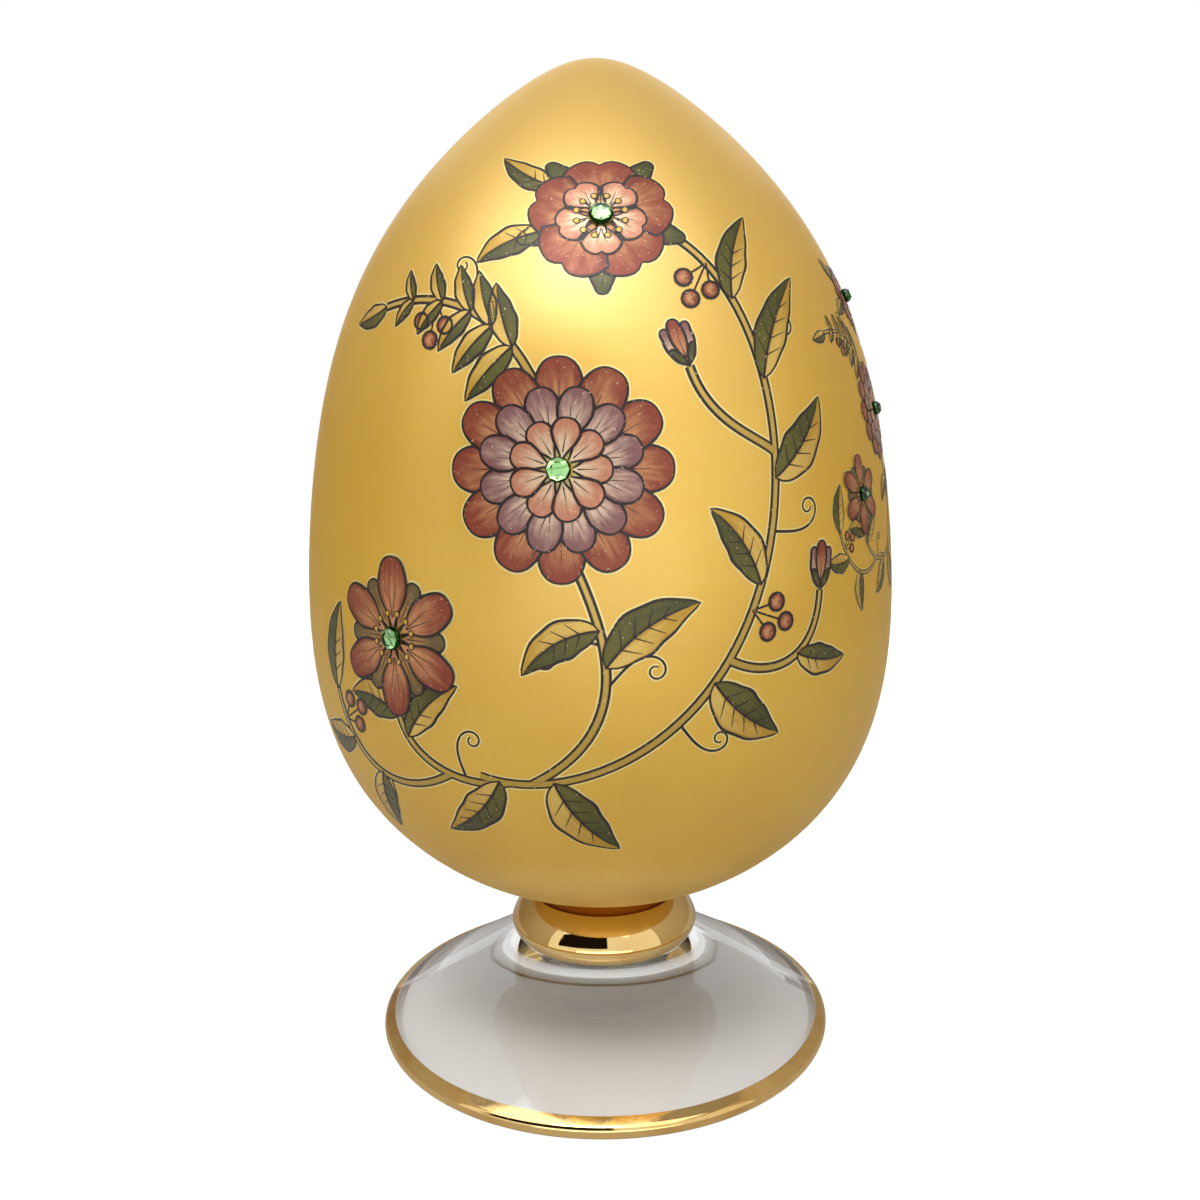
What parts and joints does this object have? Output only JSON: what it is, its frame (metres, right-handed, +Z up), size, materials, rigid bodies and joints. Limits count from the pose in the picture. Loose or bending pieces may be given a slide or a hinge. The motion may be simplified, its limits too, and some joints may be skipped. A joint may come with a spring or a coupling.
{
  "type": "decorative egg on stand",
  "caption": "Ornamental blown-glass egg with a satin gold finish and faceted stone accents, cemented into a gilt collar on a clear glass foot.",
  "frame": {"origin": "centre of the foot's resting ring, on the surface that the object stands on", "axes": "+Z up the egg's axis, -Y towards the front spray, +X to the right seen from the front"},
  "size_m": [0.1336, 0.1336, 0.2241],
  "materials": {
    "satin_gold_lacquer": "satin pearl gold lacquer on glass",
    "polished_gilt": "polished gilt",
    "gold_film": "bright fired gold",
    "clear_glass": "clear, polished",
    "cement": "matt",
    "green_crystal": "faceted, polished",
    "mirror_foil": "mirror",
    "clear_glue": "gloss"
  },
  "bodies": {
    "root": {"egg_shell": "satin_gold_lacquer", "upper_collar": "polished_gilt", "lower_collar": "polished_gilt", "neck_cement": "cement", "boss_cement": "cement", "foot": "clear_glass", "foot_rim_gilding": "gold_film", "front_stone_top": "green_crystal", "front_stone_middle": "green_crystal", "front_stone_low": "green_crystal", "front_stone_foils": "mirror_foil", "front_stone_glue": "clear_glue", "right_stone_top": "green_crystal", "right_stone_middle": "green_crystal", "right_stone_low": "green_crystal", "right_stone_foils": "mirror_foil", "right_stone_glue": "clear_glue", "left_stone_top": "green_crystal", "left_stone_middle": "green_crystal", "left_stone_low": "green_crystal", "left_stone_foils": "mirror_foil", "left_stone_glue": "clear_glue"}
  },
  "joints": []
}
